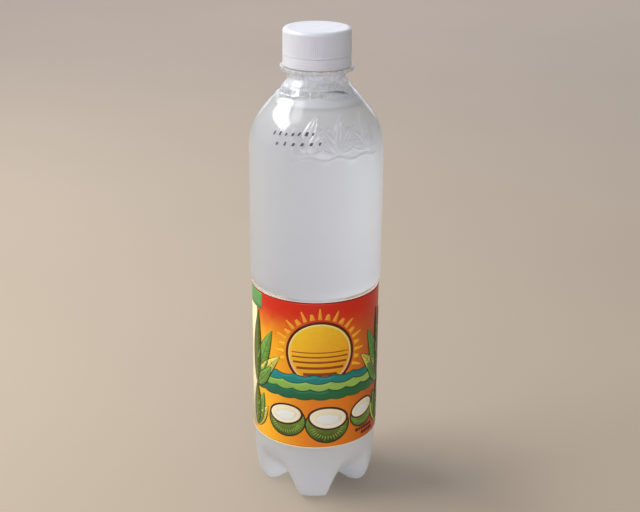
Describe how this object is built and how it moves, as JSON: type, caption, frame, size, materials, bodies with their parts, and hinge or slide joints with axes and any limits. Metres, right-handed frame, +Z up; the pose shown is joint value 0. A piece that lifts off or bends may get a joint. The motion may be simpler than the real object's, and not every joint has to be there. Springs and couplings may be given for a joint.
{
  "type": "bottle of coconut water",
  "caption": "Clear plastic bottle of cloudy coconut water on a petal base, with a white screw cap, tamper band and wrap-round film label.",
  "frame": {"origin": "middle of the base, on the plane that the feet stand on", "axes": "+Z up the bottle's axis to the cap, -Y towards the front of the label, +X to the right of someone who faces the label"},
  "size_m": [0.0612, 0.0612, 0.2231],
  "materials": {
    "clear_pet": "clear, blown, glossy",
    "coconut_water": "cloudy white drink",
    "white_cap": "moulded, satin",
    "printed_film": "printed film, satin gloss"
  },
  "bodies": {
    "root": {"bottle": "clear_pet", "coconut_water": "coconut_water", "cap": "white_cap", "tamper_band": "white_cap", "label": "printed_film"}
  },
  "joints": []
}
